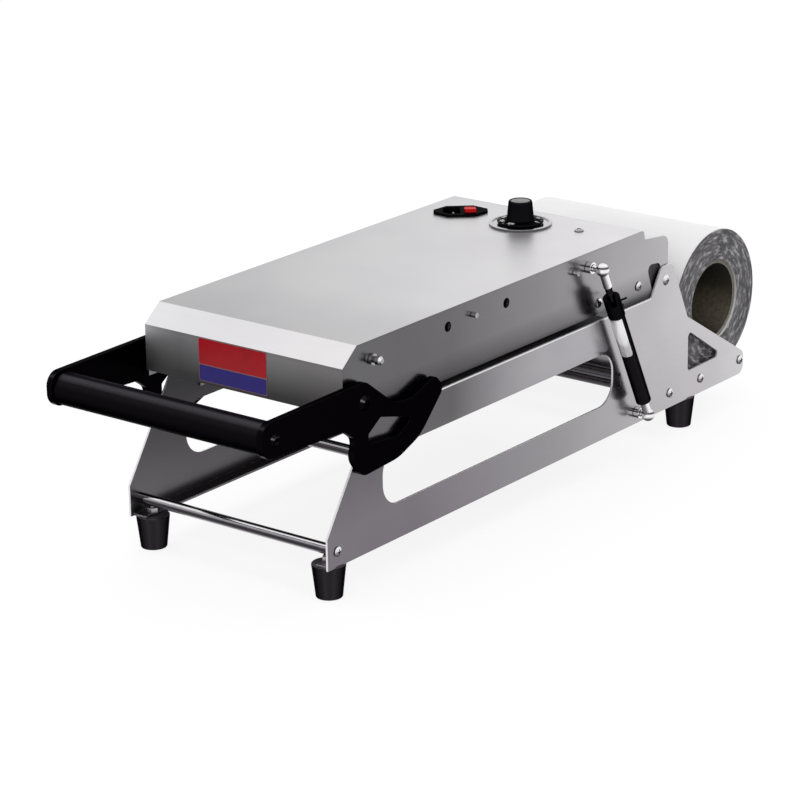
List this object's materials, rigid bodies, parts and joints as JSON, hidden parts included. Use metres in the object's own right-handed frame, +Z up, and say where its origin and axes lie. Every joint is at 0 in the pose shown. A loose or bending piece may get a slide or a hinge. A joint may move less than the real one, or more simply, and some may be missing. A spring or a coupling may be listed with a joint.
{
  "type": "tray sealing machine",
  "caption": "Manual tray sealer: a heated head hinged over a tray mould, pulled down by a U-shaped lever handle, with a film roll behind and a gas spring on one side.",
  "frame": {"origin": "on the table, under the middle of the whole machine", "axes": "+Z up, +Y from the handle towards the film roll, +X towards the side with the gas spring"},
  "size_m": [0.2622, 0.7926, 0.246],
  "materials": {
    "frame_sheet": "brushed stainless sheet",
    "head_sheet": "fine brushed stainless sheet",
    "bright_rod": "polished round bar and tube",
    "fasteners": "bright plated steel",
    "spring_joints": "bright plated steel",
    "rubber": "matt black rubber",
    "handle_black": "gloss black coated plate",
    "grip_black": "gloss black",
    "black_steel": "black finished steel",
    "spring_black": "satin black with a plain white band",
    "spring_cap": "gloss black moulding",
    "piston_rod": "black nitrided steel",
    "mould": "machined",
    "gasket": "red silicone",
    "heater": "machined",
    "heater_rods": "sheathed",
    "release": "brown coated glass cloth",
    "insulation": "pressed fibre board",
    "knife": "ground edge",
    "thermostat": "moulded",
    "dial": "satin turned disc",
    "knob": "black moulding with plain numbers and a grey cap",
    "spindle": "turned",
    "inlet": "black moulding",
    "inlet_pins": "plated",
    "rocker": "translucent red",
    "core": "wound card tube",
    "film": "wound clear film, pale outside and grey at its edges"
  },
  "bodies": {
    "frame": {"left_side_plate": "frame_sheet", "right_side_plate": "frame_sheet", "rubber_feet": "rubber", "foot_bolts": "fasteners", "front_tie_rod": "bright_rod", "rear_tie_rod": "bright_rod", "front_roll_axle": "bright_rod", "rear_roll_axle": "bright_rod", "latch_bar": "bright_rod", "rod_end_screws": "fasteners", "rear_cross_panel": "frame_sheet", "left_mould_rail": "frame_sheet", "right_mould_rail": "frame_sheet", "tray_mould": "mould", "mould_gasket": "gasket", "hinge_pins": "fasteners", "lower_ball_stud": "spring_joints"},
    "head": {"head_cover": "head_sheet", "left_head_panel": "head_sheet", "right_head_panel": "head_sheet", "head_rear_panel": "head_sheet", "hinge_bushes": "fasteners", "panel_screws": "fasteners", "panel_studs": "fasteners", "stop_studs": "fasteners", "hinge_braces": "head_sheet", "head_bridge": "head_sheet", "heating_plate": "heater", "heater_rods": "heater_rods", "release_sheet": "release", "insulation_pad": "insulation", "hanging_bolts": "fasteners", "knife_frame": "knife", "thermostat": "thermostat", "heat_sensor": "heater_rods", "dial_disc": "dial", "cover_screw": "fasteners", "inlet_housing": "inlet", "inlet_pins": "inlet_pins", "pivot_bolts": "black_steel", "pivot_spacers": "fasteners", "upper_ball_stud": "spring_joints"},
    "handle": {"left_arm": "handle_black", "right_arm": "handle_black", "grip_bar": "grip_black", "grip_screws": "black_steel"},
    "knob": {"control_knob": "knob", "knob_spindle": "spindle"},
    "rocker": {"rocker_switch": "rocker"},
    "spring_cylinder": {"lower_ball_socket": "spring_joints", "spring_tube": "spring_black", "spring_cap": "spring_cap"},
    "spring_rod": {"upper_ball_socket": "spring_joints", "piston_rod": "piston_rod"},
    "film_roll": {"film_core": "core", "film_winding": "film"},
    "front_roller": {"front_roll_roller": "bright_rod"},
    "rear_roller": {"rear_roll_roller": "bright_rod"},
    "lower_guide": {"lower_guide_roller": "bright_rod"},
    "upper_guide": {"upper_guide_roller": "bright_rod"}
  },
  "joints": [
    {"name": "head_tilt", "type": "hinge", "parent": "frame", "child": "head", "pos_m": [0, 0.22095, 0.1642], "axis": [-1, 0, 0], "range_deg": [0, 50]},
    {"name": "handle_swing", "type": "hinge", "parent": "head", "child": "handle", "pos_m": [0, -0.25985, 0.1727], "axis": [-1, 0, 0], "range_deg": [0, 70]},
    {"name": "spring_cylinder_swing", "type": "hinge", "parent": "frame", "child": "spring_cylinder", "pos_m": [0.12275, 0.17065, 0.043], "axis": [-1, 0, 0], "range_deg": [0, 26.5]},
    {"name": "spring_rod_swing", "type": "hinge", "parent": "head", "child": "spring_rod", "pos_m": [0.12275, 0.09015, 0.2082], "axis": [-1, 0, 0], "range_deg": [-24.5, 0]},
    {"name": "knob_turn", "type": "hinge", "parent": "head", "child": "knob", "pos_m": [-0.00355, 0.13515, 0.225], "axis": [0, 0, -1], "range_deg": [0, 270]},
    {"name": "rocker_tilt", "type": "hinge", "parent": "head", "child": "rocker", "pos_m": [-0.06847, 0.14176, 0.2212], "axis": [0.766, 0.6428, 0], "range_deg": [0, 16]},
    {"name": "film_spin", "type": "hinge", "parent": "frame", "child": "film_roll", "pos_m": [0, 0.32335, 0.11624], "axis": [1, 0, 0], "continuous": true},
    {"name": "front_roller_spin", "type": "hinge", "parent": "frame", "child": "front_roller", "pos_m": [0, 0.28655, 0.046], "axis": [1, 0, 0], "continuous": true},
    {"name": "rear_roller_spin", "type": "hinge", "parent": "frame", "child": "rear_roller", "pos_m": [0, 0.36015, 0.046], "axis": [1, 0, 0], "continuous": true},
    {"name": "lower_guide_spin", "type": "hinge", "parent": "frame", "child": "lower_guide", "pos_m": [0, 0.14115, 0.078], "axis": [1, 0, 0], "continuous": true},
    {"name": "upper_guide_spin", "type": "hinge", "parent": "frame", "child": "upper_guide", "pos_m": [0, 0.14115, 0.0885], "axis": [1, 0, 0], "continuous": true}
  ],
  "couplings": [
    {"joint": "spring_cylinder_swing", "follows": "head_tilt", "ratio": 0.5206},
    {"joint": "spring_rod_swing", "follows": "head_tilt", "ratio": -0.4794},
    {"joint": "front_roller_spin", "follows": "film_spin", "ratio": -12.167},
    {"joint": "rear_roller_spin", "follows": "film_spin", "ratio": -12.167}
  ]
}
